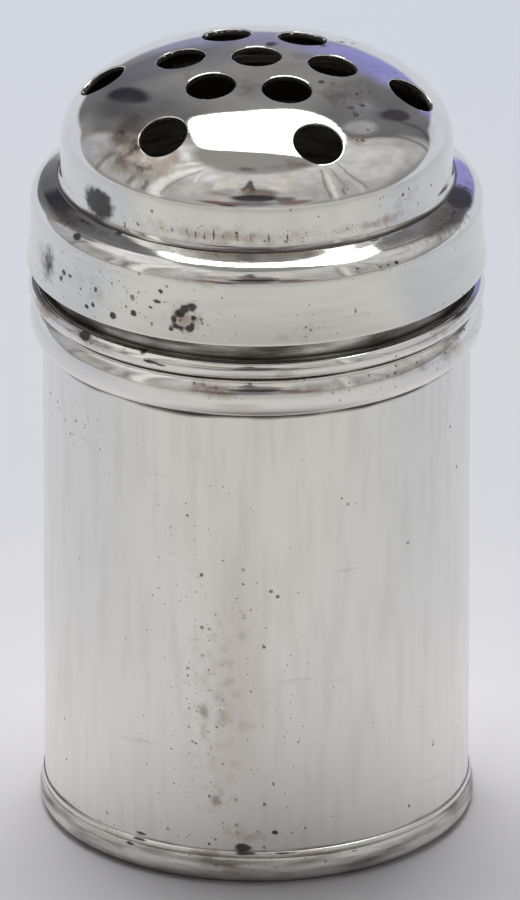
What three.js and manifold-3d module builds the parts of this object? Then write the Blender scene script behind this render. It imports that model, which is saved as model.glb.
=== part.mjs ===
// A small silver salt shaker: a plain tube on a rounded foot, with two rounded wires
// near the top, and a push-on lid whose dome is pierced with thirteen holes.
// Millimetres, +Z up. The origin is the centre of the face that it stands on.

import * as THREE from 'three';
import { mergeVertices } from 'three/addons/utils/BufferGeometryUtils.js';
import Module from 'manifold-3d';

const wasm = await Module();
wasm.setup();

// Clearances
const solderGap = 0.04;           // between pieces that are soldered together
const runningClearance = 0.06;    // between the neck and the lid's sleeve
const seatGap = 0.1;              // between the neck's rim and the lid that rests on it

// Body tube and base
const bodyRadius = 14;            // outside of the tube
const tubeWall = 0.6;
const plainHeight = 31.25;        // bare wall between the foot reed and the collar
const baseThickness = 0.5;

// Foot rim and the fine reed above it
const footHeight = 1.85;
const footProud = 0.32;           // how far the rim stands out from the tube
const footTurnUnder = 0.9;        // radius that carries the rim under
const footFlatWidth = 0.8;        // ring that touches the table
const footLedge = 0.45;           // height of the rabbet that carries tube and base
const reedHeight = 0.36;
const reedProud = 0.15;

// Broad collar wire and the bead wire above it
const collarHeight = 2.75;
const collarProud = 0.87;
const beadHeight = 1.3;
const beadProud = 0.95;
const revealHeight = 1.2;         // neck that shows between the bead and the lid

// Lid rim and sleeve
const lidSheet = 0.4;
const skirtHeight = 4.05;
const lipFlare = 0.27;            // how far the lip bells out from the skirt
const shoulderInside = 1.05;      // inside bend radius at the top of the skirt
const shoulderSweep = THREE.MathUtils.degToRad(66);
const ledgeWidth = 0.9;           // sloping ledge between the shoulder and the dome
const sleeveThickness = 0.33;
const sleeveInset = 0.5;          // how far the sleeve stops above the lip

// Pierced dome
const domeSheet = 0.4;
const coveWidth = 0.25;           // little cove at the foot of the drum
const coveHeight = 0.6;
const drumHeight = 2.45;          // straight wall under the dome, cove included
const domeRise = 5.9;
const domeFullness = 2.1;         // 2 is an ellipse, more is squarer
const holeDiameter = 3.25;
const holeRingShares = [0, 0.389, 0.794];
const holeCounts = [1, 6, 6];
const holePhase = THREE.MathUtils.degToRad(-6.8);

// Fineness of the mesh
const turns = 64;                 // facets round the axis
const holeSides = 24;
const arcSteps = 4;
const domeSteps = 9;

// Levels and radii that follow from the sizes above
const tubeSeat = bodyRadius + solderGap;
const boreRadius = bodyRadius - tubeWall;
const reedBottom = footHeight + solderGap;
const collarBottom = reedBottom + reedHeight + plainHeight;
const collarTop = collarBottom + collarHeight;
const beadBottom = collarTop + solderGap;
const lipLevel = beadBottom + beadHeight + revealHeight;
const skirtTop = lipLevel + skirtHeight;
const sleeveRadius = bodyRadius + runningClearance;
const skirtRadius = sleeveRadius + sleeveThickness + solderGap + lidSheet;
const shoulderRadius = shoulderInside + lidSheet;
const shoulderCentre = skirtRadius - shoulderRadius;
const seatRadius = shoulderCentre + shoulderRadius * Math.cos(shoulderSweep) - ledgeWidth;
const seatLevel = skirtTop + shoulderRadius * Math.sin(shoulderSweep) + ledgeWidth / Math.tan(shoulderSweep);
const drumRadius = seatRadius - coveWidth;
const drumBottom = seatLevel + solderGap;
const domeBottom = drumBottom + drumHeight;
const neckTop = skirtTop - seatGap + Math.sqrt(
  shoulderInside ** 2 - (bodyRadius - shoulderCentre) ** 2,
);

const silver = { color: 0xdcdad5, metalness: 1 };

function point(radius, height) {
  return new THREE.Vector2(radius, height);
}

// Points of an elliptical arc about a centre, from one angle to another
function arc(centreRadius, centreHeight, width, height, from, to, steps = arcSteps) {
  const points = [];
  for (let i = 0; i <= steps; i += 1) {
    const angle = from + (to - from) * (i / steps);
    points.push(point(centreRadius + width * Math.cos(angle), centreHeight + height * Math.sin(angle)));
  }
  return points;
}

// Turns a closed section, drawn anticlockwise, into a ring or a disc about +Z
function turned(section) {
  const onAxis = section[0].x === 0;
  const outline = onAxis ? section : [...section, section[0].clone()];
  return new THREE.LatheGeometry(outline, turns).rotateX(Math.PI / 2);
}

function piece(name, geometry, roughness) {
  const mesh = new THREE.Mesh(geometry, new THREE.MeshStandardMaterial({ ...silver, roughness }));
  mesh.name = name;
  return mesh;
}

// Sheet rolled to a tube and soldered. Its upper end is the neck that the lid grips.
function bodyTube() {
  const bottom = footLedge + solderGap;
  return turned([
    point(boreRadius, bottom),
    point(bodyRadius, bottom),
    point(bodyRadius, neckTop),
    point(boreRadius, neckTop),
  ]);
}

// Flat disc inside the tube, resting on the foot's rabbet
function baseDisc() {
  const radius = boreRadius - solderGap;
  const bottom = footLedge + solderGap;
  return turned([
    point(0, bottom),
    point(radius, bottom),
    point(radius, bottom + baseThickness),
    point(0, bottom + baseThickness),
  ]);
}

// Drawn wire round the bottom edge, rounded outside and rabbeted inside
function footRim() {
  const flatRadius = bodyRadius + footProud - footTurnUnder;
  const quarter = Math.PI / 2;
  return turned([
    point(flatRadius - footFlatWidth, 0),
    ...arc(flatRadius, footTurnUnder, footTurnUnder, footTurnUnder, -quarter, 0),
    ...arc(tubeSeat, footTurnUnder, footProud - solderGap, footHeight - footTurnUnder, 0, quarter).slice(1),
    point(tubeSeat, footLedge),
    point(flatRadius - footFlatWidth, footLedge),
  ]);
}

// A wire laid on the tube: half round or half oval, with straight sides if it is deep for its height
function halfRoundWire(bottom, height, proud, steps) {
  const round = Math.min(height / 2, proud - solderGap);
  const straight = proud - solderGap - round;
  const quarter = Math.PI / 2;
  const outside = arc(tubeSeat + straight, bottom + height / 2, round, height / 2, -quarter, quarter, steps);
  if (straight > 0) {
    outside.unshift(point(tubeSeat, bottom));
    outside.push(point(tubeSeat, bottom + height));
  }
  return turned(outside);
}

// One face of the lid's rim, a given depth in from its outside, from the lip up
function rimFace(depth) {
  const face = [];
  for (let i = 0; i < arcSteps; i += 1) {
    const fall = 1 - i / arcSteps;
    face.push(point(skirtRadius - depth + lipFlare * fall ** 2, skirtTop - skirtHeight * fall));
  }
  const bend = shoulderRadius - depth;
  face.push(...arc(shoulderCentre, skirtTop, bend, bend, 0, shoulderSweep));
  face.push(point(seatRadius, seatLevel - depth));
  return face;
}

// Spun rim: belled lip, straight skirt, rolled shoulder and the ledge that the dome sits on
function lidRim() {
  const land = drumRadius - domeSheet;
  return turned([
    ...rimFace(0),
    point(land, seatLevel),
    point(land, seatLevel - lidSheet),
    ...rimFace(lidSheet).reverse(),
  ]);
}

// Thin ring inside the skirt that grips the neck
function lidSleeve() {
  const outside = sleeveRadius + sleeveThickness;
  const bottom = lipLevel + sleeveInset;
  return turned([
    point(sleeveRadius, bottom),
    point(outside, bottom),
    point(outside, skirtTop),
    point(sleeveRadius, skirtTop),
  ]);
}

// Height of the dome above its spring line, and its slope, a share of the way out
function domeHeight(share) {
  return domeRise * (1 - share ** domeFullness) ** (1 / domeFullness);
}

function domeNormal(share) {
  const outward = share ** (domeFullness - 1) / drumRadius;
  const upward = (domeHeight(share) / domeRise) ** (domeFullness - 1) / domeRise;
  return new THREE.Vector2(outward, upward).normalize();
}

// Profile of the dome from its spring line to the apex, a given depth in
function domeFace(depth) {
  const face = [];
  for (let i = 0; i <= domeSteps; i += 1) {
    const angle = (Math.PI / 2) * (i / domeSteps);
    const outward = i === domeSteps ? 0 : Math.cos(angle) ** (2 / domeFullness);
    const upward = Math.sin(angle) ** (2 / domeFullness);
    face.push(point((drumRadius - depth) * outward, domeBottom + (domeRise - depth) * upward));
  }
  return face;
}

// Round cutter through the sheet, square to the dome where its centre comes
function holeCutter(ringRadius, angle) {
  const share = ringRadius / drumRadius;
  const slope = domeNormal(share);
  const normal = new THREE.Vector3(slope.x * Math.cos(angle), slope.x * Math.sin(angle), slope.y);
  const cutter = new THREE.CylinderGeometry(holeDiameter / 2, holeDiameter / 2, domeSheet * 4, holeSides);
  cutter.applyQuaternion(new THREE.Quaternion().setFromUnitVectors(new THREE.Vector3(0, 1, 0), normal));
  const level = domeBottom + domeHeight(share);
  return cutter.translate(ringRadius * Math.cos(angle), ringRadius * Math.sin(angle), level);
}

function toSolid(geometry) {
  const bare = geometry.clone();
  bare.deleteAttribute('normal');
  bare.deleteAttribute('uv');
  const merged = mergeVertices(bare, domeSheet / 1000);
  const mesh = new wasm.Mesh({
    numProp: 3,
    vertProperties: new Float32Array(merged.attributes.position.array),
    triVerts: new Uint32Array(merged.index.array),
  });
  return new wasm.Manifold(mesh);
}

function toGeometry(solid) {
  const mesh = solid.getMesh();
  const geometry = new THREE.BufferGeometry();
  geometry.setAttribute('position', new THREE.BufferAttribute(mesh.vertProperties, 3));
  geometry.setIndex(new THREE.BufferAttribute(mesh.triVerts, 1));
  geometry.computeVertexNormals();
  return geometry;
}

// Raised dome on a short drum, with a cove at its foot, pierced after it was raised
function lidDome() {
  const cove = arc(drumRadius + coveWidth, drumBottom + coveHeight, coveWidth, coveHeight, Math.PI * 1.5, Math.PI, 3);
  const inside = domeFace(domeSheet).reverse();
  const shell = turned([
    inside[0],
    ...inside.slice(1),
    point(drumRadius - domeSheet, drumBottom),
    ...cove,
    ...domeFace(0),
  ]);
  let solid = toSolid(shell);
  holeRingShares.forEach((share, ring) => {
    for (let i = 0; i < holeCounts[ring]; i += 1) {
      const angle = holePhase + (2 * Math.PI * i) / holeCounts[ring];
      solid = solid.subtract(toSolid(holeCutter(share * drumRadius, angle)));
    }
  });
  return toGeometry(solid);
}

const body = new THREE.Group();
body.add(
  piece('body_tube', bodyTube(), 0.22),
  piece('base_disc', baseDisc(), 0.35),
  piece('foot_rim', footRim(), 0.15),
  piece('foot_reed', halfRoundWire(reedBottom, reedHeight, reedProud, arcSteps), 0.2),
  piece('collar_band', halfRoundWire(collarBottom, collarHeight, collarProud, 2 * arcSteps), 0.15),
  piece('upper_bead', halfRoundWire(beadBottom, beadHeight, beadProud, 2 * arcSteps), 0.12),
);

const lid = new THREE.Group();
lid.add(
  piece('lid_rim', lidRim(), 0.15),
  piece('lid_dome', lidDome(), 0.1),
  piece('lid_sleeve', lidSleeve(), 0.4),
);

const group = new THREE.Group();
group.add(body, lid);

export default group;
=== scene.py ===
import math

import bpy
import numpy as np
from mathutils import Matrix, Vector


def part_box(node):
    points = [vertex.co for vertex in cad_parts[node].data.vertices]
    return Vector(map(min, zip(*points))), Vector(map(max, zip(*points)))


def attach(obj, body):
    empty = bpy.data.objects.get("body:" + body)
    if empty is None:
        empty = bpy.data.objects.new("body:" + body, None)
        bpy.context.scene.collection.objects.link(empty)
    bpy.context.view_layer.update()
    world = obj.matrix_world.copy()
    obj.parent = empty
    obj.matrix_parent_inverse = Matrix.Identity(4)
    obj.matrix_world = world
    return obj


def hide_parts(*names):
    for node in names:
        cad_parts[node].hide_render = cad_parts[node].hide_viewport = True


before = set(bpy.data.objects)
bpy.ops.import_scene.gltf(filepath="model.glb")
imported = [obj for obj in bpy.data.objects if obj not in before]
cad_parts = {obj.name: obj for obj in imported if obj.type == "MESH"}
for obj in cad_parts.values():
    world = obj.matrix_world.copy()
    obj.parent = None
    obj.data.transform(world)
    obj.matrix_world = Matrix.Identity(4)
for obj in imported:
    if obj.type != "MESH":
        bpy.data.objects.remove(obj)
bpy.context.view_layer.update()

# A small silver salt shaker, in metres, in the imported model's frame: it stands on z = 0 round the
# Z axis, and the photograph looks at it along +Y.


# Body wall
# Sheet silver rolled to a tube and soldered up the back. Years of rubbing have left it satin, with
# fine upright marks and a few pits, and its plain upper end is the neck that the lid grips.
mm = 0.001
silver_colour = (0.86, 0.845, 0.8, 1)
worn_colour = (0.7, 0.68, 0.635, 1)
stain_colour = (0.38, 0.27, 0.205, 1)
# The tarnish colour also serves for painted shade in grooves, under the lid and on the foot
tarnish_and_shade_colour = (0.1, 0.082, 0.06, 1)
sulphide_colour = (0.052, 0.05, 0.048, 1)


def add(tree, kind, inputs=None, **settings):
    """Adds a node, and gives each named input a value or the socket that feeds it."""
    node = tree.nodes.new(kind)
    for label, value in settings.items():
        setattr(node, label, value)
    for label, value in (inputs or {}).items():
        if isinstance(value, bpy.types.NodeSocket):
            tree.links.new(value, node.inputs[label])
        else:
            node.inputs[label].default_value = value
    return node


def output(tree, kind, inputs=None, **settings):
    """Adds a node and gives its first output."""
    return add(tree, kind, inputs, **settings).outputs[0]


def calc(tree, operation, *values):
    return output(tree, "ShaderNodeMath", dict(enumerate(values)), operation=operation)


def vector(tree, operation, *values):
    node = add(tree, "ShaderNodeVectorMath", dict(enumerate(values)), operation=operation)
    return node.outputs["Value" if operation in ("DOT_PRODUCT", "LENGTH") else "Vector"]


def scaled(tree, arrow, share):
    return output(tree, "ShaderNodeVectorMath", {0: arrow, "Scale": share}, operation="SCALE")


def between(tree, value, low, high):
    """0 below low, 1 above high and a smooth step between them."""
    inputs = {"Value": value, "From Min": low, "From Max": high}
    return add(tree, "ShaderNodeMapRange", inputs, interpolation_type="SMOOTHSTEP").outputs["Result"]


def clouds(tree, where, size, detail):
    """Soft noise about 0.5, in clouds of about a size."""
    pitch = calc(tree, "DIVIDE", 1, size)
    return add(tree, "ShaderNodeTexNoise", {"Vector": where, "Scale": pitch, "Detail": detail}).outputs["Fac"]


def swayed(tree, value, cloud, share):
    """A value that rises and falls with a cloud, by a share of it."""
    return calc(tree, "MULTIPLY_ADD", calc(tree, "SUBTRACT", cloud, 0.5), share, value)


def new_tree(name, kind, inputs, outputs):
    """An empty node group with named sockets, its inputs and its outputs."""
    tree = bpy.data.node_groups.new(name, kind)
    for label, (socket_type, value) in inputs.items():
        socket = tree.interface.new_socket(name=label, in_out="INPUT", socket_type=socket_type)
        if value is not None:
            socket.default_value = value
    for label, socket_type in outputs.items():
        tree.interface.new_socket(name=label, in_out="OUTPUT", socket_type=socket_type)
    return tree, tree.nodes.new("NodeGroupInput").outputs, tree.nodes.new("NodeGroupOutput").inputs


def smoothed(tree, shape, crease, finish):
    """Smooth shading with edges over the crease angle left sharp, then the finish."""
    faces = {"Geometry": shape, "Shade Smooth": True}
    soft = output(tree, "GeometryNodeSetShadeSmooth", faces, domain="FACE")
    bend = add(tree, "GeometryNodeInputMeshEdgeAngle").outputs["Unsigned Angle"]
    sharp = {"Geometry": soft, "Selection": calc(tree, "GREATER_THAN", bend, crease), "Shade Smooth": False}
    edged = output(tree, "GeometryNodeSetShadeSmooth", sharp, domain="EDGE")
    real = output(tree, "GeometryNodeRealizeInstances", {"Geometry": edged})
    return output(tree, "GeometryNodeSetMaterial", {"Geometry": real, "Material": finish})


def spun(tree, section, closed, turns):
    """Turns a section, drawn anticlockwise, round the axis. A section that ends on the axis isn't closed."""
    corners = add(tree, "GeometryNodeAttributeDomainSize", {"Geometry": section}).outputs["Point Count"]
    columns = calc(tree, "ADD", corners, closed)
    rows = calc(tree, "ADD", turns, 1)
    grid = {"Size X": 1, "Size Y": 1, "Vertices X": columns, "Vertices Y": rows}
    sheet = add(tree, "GeometryNodeMeshGrid", grid).outputs["Mesh"]
    place = output(tree, "GeometryNodeInputPosition")
    spread = add(tree, "ShaderNodeSeparateXYZ", {0: vector(tree, "ADD", place, (0.5, 0.5, 0))}).outputs
    step = calc(tree, "MULTIPLY", spread["X"], calc(tree, "SUBTRACT", columns, 1))
    corner = calc(tree, "MODULO", calc(tree, "ROUND", step), corners)
    sampled = {"Geometry": section, "Value": place, "Index": corner}
    flat = output(tree, "GeometryNodeSampleIndex", sampled, data_type="FLOAT_VECTOR")
    spin = {"Vector": flat, "Angle": calc(tree, "MULTIPLY", spread["Y"], -math.tau)}
    swept = output(tree, "ShaderNodeVectorRotate", spin, rotation_type="Z_AXIS")
    moved = output(tree, "GeometryNodeSetPosition", {"Geometry": sheet, "Position": swept})
    return output(tree, "GeometryNodeMergeByDistance", {"Geometry": moved, "Distance": 1e-7})


def dented(tree, shape, depth, size):
    """Sinks the surface by up to a depth in soft patches, as hammering and handling leave it."""
    patches = clouds(tree, output(tree, "GeometryNodeInputPosition"), size, 1.0)
    inward = calc(tree, "MULTIPLY", patches, calc(tree, "MULTIPLY", depth, -1))
    sunk = scaled(tree, output(tree, "GeometryNodeInputNormal"), inward)
    return output(tree, "GeometryNodeSetPosition", {"Geometry": shape, "Offset": sunk})


turning, given, result = new_tree("turned round the axis", "GeometryNodeTree", {
    "Section": ("NodeSocketGeometry", None),
    "Closed": ("NodeSocketInt", 1),
    "Turns": ("NodeSocketInt", 288),
    "Dent Depth": ("NodeSocketFloat", 0.0),
    "Dent Size": ("NodeSocketFloat", 6 * mm),
    "Finish": ("NodeSocketMaterial", None),
}, {"Piece": "NodeSocketGeometry"})
crease = math.radians(32)
lathed = spun(turning, given["Section"], given["Closed"], given["Turns"])
worn = dented(turning, lathed, given["Dent Depth"], given["Dent Size"])
turning.links.new(smoothed(turning, worn, crease, given["Finish"]), result["Piece"])


def grown(name, tree, points, values):
    """Runs a tree on a list of points and keeps what it makes as a plain mesh."""
    start = bpy.data.meshes.new(name + "_points")
    start.from_pydata(points, [], [])
    seed = bpy.data.objects.new(name + "_points", start)
    bpy.context.scene.collection.objects.link(seed)
    modifier = seed.modifiers.new(name, "NODES")
    modifier.node_group = tree
    for item in tree.interface.items_tree:
        if item.in_out == "INPUT" and item.name in values:
            modifier[item.identifier] = values[item.name]
    ready = seed.evaluated_get(bpy.context.evaluated_depsgraph_get())
    piece = bpy.data.objects.new(name, bpy.data.meshes.new_from_object(ready))
    bpy.context.scene.collection.objects.link(piece)
    bpy.data.objects.remove(seed)
    piece.data.name = name
    return piece


def turned(name, section, finish, **values):
    points = [(radius, 0, level) for radius, level in section]
    settings = {label.replace("_", " ").title(): value for label, value in values.items()}
    return grown(name, turning, points, {"Finish": finish, **settings})


def arc(centre, width, height, start, end, steps=14):
    """Points of an elliptical arc about a centre, from one angle to another, in degrees."""
    angles = np.radians(np.linspace(start, end, steps + 1))
    return [(centre[0] + width * math.cos(a), centre[1] + height * math.sin(a)) for a in angles]


def eased(before, corner, after, radius, steps=5):
    """A corner rounded off by a radius, on its way from the point before to the point after."""
    corner = Vector(corner)
    start = corner + (Vector(before) - corner).normalized() * radius
    end = corner + (Vector(after) - corner).normalized() * radius
    shares = [i / steps for i in range(steps + 1)]
    return [tuple(start * (1 - s) ** 2 + corner * 2 * s * (1 - s) + end * s ** 2) for s in shares]


def ring_section(inner, outer, bottom, top, ease, step):
    """A plain upright ring's section with eased corners, and its outer face in short steps."""
    corners = [(inner, bottom), (outer, bottom), (outer, top), (inner, top)]
    section = []
    for i, corner in enumerate(corners):
        section += eased(corners[i - 1], corner, corners[(i + 1) % 4], ease)
        if i == 1:
            count = int((top - bottom) / step)
            section += [(outer, bottom + (top - bottom) * k / count) for k in range(1, count)]
    return section


def points_of(piece):
    flat = np.empty(len(piece.data.vertices) * 3)
    piece.data.vertices.foreach_get("co", flat)
    return flat.reshape(-1, 3)


def surface_places(piece):
    """Each point's radius, turn from the front towards +X in radians, and level."""
    x, y, z = points_of(piece).T
    return np.hypot(x, y), np.arctan2(x, -y), z


def store(piece, name, values):
    layer = piece.data.attributes.new(name, "FLOAT", "POINT")
    layer.data.foreach_set("value", values.astype(np.float32))


def tarnished_and_shaded(piece, rings, all_over=0.0, elsewhere=None):
    """Stores how deep in tarnish and painted shade each point lies: 1 on a ring (radius, level) and 0 at
    the ring's reach, but at least the value all over, or what a function of radius and level gives elsewhere."""
    radius, turn, level = surface_places(piece)
    grime_and_shade = np.full(len(radius), all_over)
    for ring_radius, ring_level, reach in rings:
        away = np.hypot(radius - ring_radius, level - ring_level)
        grime_and_shade = np.maximum(grime_and_shade, 1 - away / reach)
    if elsewhere is not None:
        grime_and_shade = np.maximum(grime_and_shade, elsewhere(radius, level))
    store(piece, "grime_and_shade", grime_and_shade)


def spotted(piece, name, spots):
    """Stores how near each point is to a mark: 1.5 at its middle, 0.5 at its edge and 0 away from it.
    A mark is its turn in degrees, radius, level, half width round the object and half height, in
    millimetres, and its strength where that isn't 1."""
    radius, turn, level = surface_places(piece)
    field = np.zeros(len(radius))
    for spot_turn, spot_radius, spot_level, half_width, half_height, *strength in spots:
        round_it = (turn - math.radians(spot_turn) + math.pi) % math.tau - math.pi
        across = round_it * spot_radius / half_width
        along = np.hypot(radius / mm - spot_radius, level / mm - spot_level) / half_height
        nearness = 1.5 - np.hypot(across, along)
        field = np.maximum(field, nearness * (strength[0] if strength else 1))
    store(piece, name, field)


# Places on a turned piece: X and Y run round it at one radius, and Z runs along its profile
around, given, result = new_tree("around the piece", "ShaderNodeTree", {
    "Vector": ("NodeSocketVector", None),
    "Radius": ("NodeSocketFloat", 14 * mm),
}, {"Vector": "NodeSocketVector"})
flat = vector(around, "MULTIPLY", given["Vector"], (1, 1, 0))
level = add(around, "ShaderNodeSeparateXYZ", {0: given["Vector"]}).outputs["Z"]
along = calc(around, "SUBTRACT", level, vector(around, "LENGTH", flat))
lifted = output(around, "ShaderNodeCombineXYZ", {"Z": along})
ringed = scaled(around, vector(around, "NORMALIZE", flat), given["Radius"])
around.links.new(vector(around, "ADD", ringed, lifted), result["Vector"])

# Fine lines, clouds and slow waves that rubbing and turning leave, drawn out along the direction in
# which the vector is squeezed
hairlines, given, result = new_tree("hairlines", "ShaderNodeTree", {
    "Vector": ("NodeSocketVector", None),
    "Line Width": ("NodeSocketFloat", 0.1 * mm),
    "Wave Length": ("NodeSocketFloat", 1.2 * mm),
}, {"Height": "NodeSocketFloat", "Cloud": "NodeSocketFloat", "Wave": "NodeSocketFloat"})
lines_in_a_cloud = 6.25
cloud_width = calc(hairlines, "MULTIPLY", given["Line Width"], lines_in_a_cloud)
for label, size, detail in (
    ("Height", given["Line Width"], 2.0),
    ("Cloud", cloud_width, 3.0),
    ("Wave", given["Wave Length"], 1.5),
):
    hairlines.links.new(clouds(hairlines, given["Vector"], size, detail), result[label])

# Tarnish and painted shade that gather in grooves and fade out of them in clouds
tarnish_and_shade, given, result = new_tree("tarnish_and_shade", "ShaderNodeTree", {
    "Vector": ("NodeSocketVector", None),
    "Grime And Shade": ("NodeSocketFloat", 0.0),
    "Cloud Size": ("NodeSocketFloat", 0.7 * mm),
}, {"Mask": "NodeSocketFloat"})
cloud = clouds(tarnish_and_shade, given["Vector"], given["Cloud Size"], 4.0)
uneven = swayed(tarnish_and_shade, given["Grime And Shade"], cloud, 1.3)
tarnish_and_shade.links.new(between(tarnish_and_shade, uneven, 0.2, 0.85), result["Mask"])

# Marks with ragged edges, from how near a place is to one
ragged_marks, given, result = new_tree("ragged marks", "ShaderNodeTree", {
    "Vector": ("NodeSocketVector", None),
    "Nearness": ("NodeSocketFloat", 0.0),
    "Ragged Size": ("NodeSocketFloat", 0.45 * mm),
    "Raggedness": ("NodeSocketFloat", 0.55),
    "Softness": ("NodeSocketFloat", 0.4),
}, {"Mask": "NodeSocketFloat"})
mark_edge = 0.5
ragged = clouds(ragged_marks, given["Vector"], given["Ragged Size"], 3.0)
inside = swayed(ragged_marks, given["Nearness"], ragged, given["Raggedness"])
full = calc(ragged_marks, "ADD", given["Softness"], mark_edge)
ragged_marks.links.new(between(ragged_marks, inside, mark_edge, full), result["Mask"])

# Small round pits, more of them where the density is high. Their sizes are shares of their spacing.
pitting, given, result = new_tree("pitting", "ShaderNodeTree", {
    "Vector": ("NodeSocketVector", None),
    "Density": ("NodeSocketFloat", 0.02),
    "Pit Spacing": ("NodeSocketFloat", 0.45 * mm),
}, {"Mask": "NodeSocketFloat"})
least_size = 0.1
size_range = 0.26
least_depth = 0.4
soft_edge = 0.1
pit_pitch = calc(pitting, "DIVIDE", 1, given["Pit Spacing"])
cells = add(pitting, "ShaderNodeTexVoronoi", {"Vector": given["Vector"], "Scale": pit_pitch})
chance = add(pitting, "ShaderNodeSeparateColor", {0: cells.outputs["Color"]}).outputs
chosen = calc(pitting, "LESS_THAN", chance["Red"], given["Density"])
pit_size = calc(pitting, "MULTIPLY_ADD", chance["Green"], size_range, least_size)
hollow = calc(pitting, "SUBTRACT", pit_size, cells.outputs["Distance"])
deep = calc(pitting, "MULTIPLY_ADD", chance["Blue"], 1 - least_depth, least_depth)
pits = calc(pitting, "MULTIPLY", between(pitting, hollow, 0.0, soft_edge), deep)
pitting.links.new(calc(pitting, "MULTIPLY", chosen, pits), result["Mask"])


def place_group(tree, group, inputs):
    return add(tree, "ShaderNodeGroup", inputs, node_tree=group).outputs


def blended(tree, share, low, high):
    return add(tree, "ShaderNodeMix", {"Factor": share, 6: low, 7: high}, data_type="RGBA").outputs[2]


def silver(name, polish, rubbing, squeeze, line_width, relief, waves=1.0, wave_length=1.2 * mm, pits=0.006):
    """Worn silver: polish is its roughness, rubbing how much that varies, relief the depth of its
    hairlines, waves that of the slow waves and pits the share of places with a pit. Squeeze draws
    the lines out: upright if it squeezes Z, round the piece if it squeezes X and Y."""
    finish = bpy.data.materials.new(name)
    finish.use_nodes = True
    tree = finish.node_tree
    shader = tree.nodes["Principled BSDF"].inputs
    where = add(tree, "ShaderNodeTexCoord").outputs["Object"]
    ringed = where if squeeze == (1, 1, 1) else place_group(tree, around, {"Vector": where})["Vector"]
    lines = place_group(tree, hairlines, {
        "Vector": vector(tree, "MULTIPLY", ringed, squeeze),
        "Line Width": line_width,
        "Wave Length": wave_length,
    })
    near = {}
    for label in ("grime_and_shade", "blots", "stained", "pitted"):
        near[label] = add(tree, "ShaderNodeAttribute", attribute_name=label).outputs["Fac"]

    # Masks of the tarnish and painted shade, which lie in streaks round the piece, the black blots, the
    # brown stains, the pits and the rubbed streaks
    streaky = vector(tree, "MULTIPLY", ringed, (0.14, 0.14, 1))
    dull_and_shade = place_group(tree, tarnish_and_shade, {"Vector": streaky, "Grime And Shade": near["grime_and_shade"]})["Mask"]
    blot = place_group(tree, ragged_marks, {"Vector": where, "Nearness": near["blots"]})["Mask"]
    stain = place_group(tree, ragged_marks, {
        "Vector": where,
        "Nearness": near["stained"],
        "Ragged Size": 0.8 * mm,
        "Raggedness": 1.6,
        "Softness": 1.1,
    })["Mask"]
    density = calc(tree, "MAXIMUM", pits, calc(tree, "MULTIPLY", near["pitted"], 0.45))
    large = place_group(tree, pitting, {"Vector": where, "Density": density})["Mask"]
    small = place_group(tree, pitting, {"Vector": where, "Density": density, "Pit Spacing": 0.2 * mm})["Mask"]
    pitted = calc(tree, "MAXIMUM", large, small)
    streaked = between(tree, lines["Cloud"], 0.42, 0.7)

    # Each mask, how firmly it covers what lies under it, and its colour
    tone = silver_colour
    for mask, cover, colour in (
        (streaked, 0.3, worn_colour),
        (stain, 0.7, stain_colour),
        (dull_and_shade, 1.0, tarnish_and_shade_colour),
        (pitted, 0.85, tarnish_and_shade_colour),
        (blot, 0.93, sulphide_colour),
    ):
        tone = blended(tree, calc(tree, "MULTIPLY", mask, cover), tone, colour)

    # How much each mask adds to the roughness
    least_rough = 0.02
    rough = swayed(tree, polish, lines["Cloud"], rubbing)
    for mask, added in ((calc(tree, "MAXIMUM", dull_and_shade, blot), 0.3), (stain, 0.1), (pitted, 0.3)):
        rough = calc(tree, "MULTIPLY_ADD", mask, added, rough)

    # How far lines, waves and pits stand up or sink, as shares of the bump's distance
    raised = calc(tree, "MULTIPLY_ADD", lines["Height"], relief, calc(tree, "MULTIPLY", lines["Wave"], waves))
    raised = calc(tree, "MULTIPLY_ADD", pitted, -0.15, raised)
    bump = output(tree, "ShaderNodeBump", {"Strength": 1.0, "Distance": 0.006 * mm, "Height": raised})
    tree.links.new(tone, shader["Base Color"])
    tree.links.new(calc(tree, "MAXIMUM", rough, least_rough), shader["Roughness"])
    tree.links.new(bump, shader["Normal"])
    tree.links.new(calc(tree, "MULTIPLY_ADD", dull_and_shade, -0.5, 1.0), shader["Metallic"])
    return finish


def fitted(piece, body, node):
    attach(piece, body)
    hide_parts(node)


low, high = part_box("body_tube")
body_radius = high.x
tube_wall = 0.6 * mm
bore_radius = body_radius - tube_wall
wall_finish = silver(
    "rubbed silver wall", polish=0.24, rubbing=0.12, squeeze=(1, 1, 0.12), line_width=0.12 * mm,
    relief=0.16, waves=0.35, wave_length=5 * mm,
)
wall_section = ring_section(bore_radius, body_radius, low.z, high.z, ease=0.15 * mm, step=0.35 * mm)
wall = turned("wall", wall_section, wall_finish, turns=480, dent_depth=0.02 * mm, dent_size=9 * mm)
neck_foot = 37 * mm


def shaded_neck_dull_bore(radius, level):
    """The neck above the bead is painted dark all round, as painted shade under the lid over its tarnish,
    and the inside of the tube is dull.
    """
    return np.where(radius < body_radius - 0.5 * tube_wall, 0.45, np.where(level > neck_foot, 0.6, 0))


def on_wall(marks):
    """Marks on the wall, which are given without their radius."""
    return [(turn, body_radius / mm, *rest) for turn, *rest in marks]


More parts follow.
